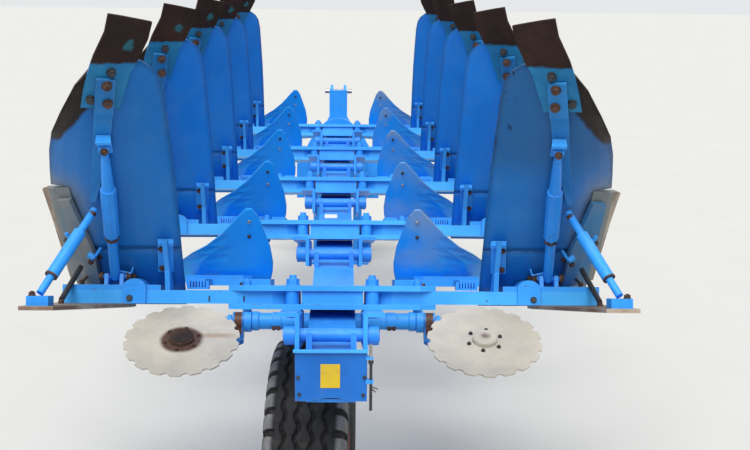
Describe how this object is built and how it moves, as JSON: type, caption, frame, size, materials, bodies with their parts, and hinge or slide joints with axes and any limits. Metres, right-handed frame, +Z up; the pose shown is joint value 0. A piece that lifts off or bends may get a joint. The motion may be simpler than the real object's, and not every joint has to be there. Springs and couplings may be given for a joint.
{
  "type": "mounted reversible mouldboard plough",
  "caption": "Mounted reversible mouldboard plough in pale blue paint, turned halfway for transport, with skimmers, notched rear disc coulters and a wheel under the beam.",
  "frame": {"origin": "on the floor, under the middle of the whole machine's box", "axes": "+X right seen from behind, +Y towards the hitch, +Z up"},
  "size_m": [1.8022, 5.7421, 1.9343],
  "materials": {
    "blue_paint": "satin, chipped and dusty",
    "board_paint": "satin, rust at the edges",
    "rusty_steel": "brown rust, matt",
    "worn_steel": "worn bright, with rust spots",
    "bolt_steel": "rusty bolts",
    "pin_steel": "bright zinc",
    "rim_red": "gloss, dusty",
    "tyre_rubber": "matt, dusty",
    "cylinder_black": "satin",
    "rod_chrome": "polished",
    "sign_yellow": "sticker, faded"
  },
  "bodies": {
    "headstock": {"headstock": "blue_paint", "top_link_pin": "pin_steel", "lower_axle": "blue_paint", "stand_sleeves": "blue_paint", "parking_stands": "blue_paint", "cylinder_pin": "pin_steel"},
    "frame": {"main_beam": "blue_paint", "rear_plate": "blue_paint", "leg_holders": "blue_paint", "holder_bolts": "bolt_steel", "legs": "blue_paint", "channels": "blue_paint", "cross_tubes": "blue_paint", "frogs": "blue_paint", "share_rails": "blue_paint", "board_brackets": "blue_paint", "stays": "blue_paint", "stay_heads": "blue_paint", "straps": "blue_paint", "heel_struts": "blue_paint", "skimmer_stems": "blue_paint", "wheel_arm_pin": "pin_steel", "shins": "board_paint", "mouldboards": "board_paint", "tail_extensions": "rusty_steel", "shares": "worn_steel", "points": "worn_steel", "landsides": "worn_steel", "skimmers": "board_paint", "disc_stalk": "blue_paint", "wheel_hanger": "blue_paint", "turn_head": "blue_paint"},
    "wheel_arm": {"wheel_arm": "blue_paint", "wheel_axle": "pin_steel"},
    "wheel": {"wheel_rim": "rim_red", "tyre": "tyre_rubber"},
    "disc_arm_right": {"disc_arm_right": "blue_paint"},
    "disc_arm_left": {"disc_arm_left": "blue_paint"},
    "disc_right": {"disc_right": "worn_steel"},
    "disc_left": {"disc_left": "worn_steel"},
    "cylinder_barrel": {"cylinder_barrel": "cylinder_black"},
    "cylinder_rod": {"cylinder_rod": "rod_chrome"}
  },
  "joints": [
    {"name": "turnover", "type": "hinge", "parent": "headstock", "child": "frame", "pos_m": [0, 2.446, 0.936], "axis": [0, 1, 0], "range_deg": [-90, 90]},
    {"name": "cylinder_swing", "type": "hinge", "parent": "headstock", "child": "cylinder_barrel", "pos_m": [0, 2.71, 0.491], "axis": [0, 1, 0], "range_deg": [-15.19, 15.19]},
    {"name": "cylinder_stroke", "type": "slide", "parent": "cylinder_barrel", "child": "cylinder_rod", "axis": [0, 0, 1], "range_m": [0, 0.1359]},
    {"name": "wheel_depth", "type": "hinge", "parent": "frame", "child": "wheel_arm", "pos_m": [0, -1.554, 0.812], "axis": [1, 0, 0], "range_deg": [0, 25]},
    {"name": "wheel_spin", "type": "hinge", "parent": "wheel_arm", "child": "wheel", "pos_m": [-0.068, -2.124, 0.4225], "axis": [0.9986, -0.0523, 0], "continuous": true},
    {"name": "disc_swivel_right", "type": "hinge", "parent": "frame", "child": "disc_arm_right", "pos_m": [0, -1.419, 0.713], "axis": [1, 0, 0], "range_deg": [-40, 0]},
    {"name": "disc_swivel_left", "type": "hinge", "parent": "frame", "child": "disc_arm_left", "pos_m": [0, -1.419, 0.713], "axis": [1, 0, 0], "range_deg": [-40, 0]},
    {"name": "disc_spin_right", "type": "hinge", "parent": "disc_arm_right", "child": "disc_right", "pos_m": [0.565, -1.5919, 0.65007], "axis": [0, -0.342, 0.9397], "continuous": true},
    {"name": "disc_spin_left", "type": "hinge", "parent": "disc_arm_left", "child": "disc_left", "pos_m": [-0.565, -1.5919, 0.65007], "axis": [0, -0.342, 0.9397], "continuous": true}
  ],
  "couplings": [
    {"joint": "cylinder_swing", "follows": "turnover", "ratio": -0.1677}
  ]
}
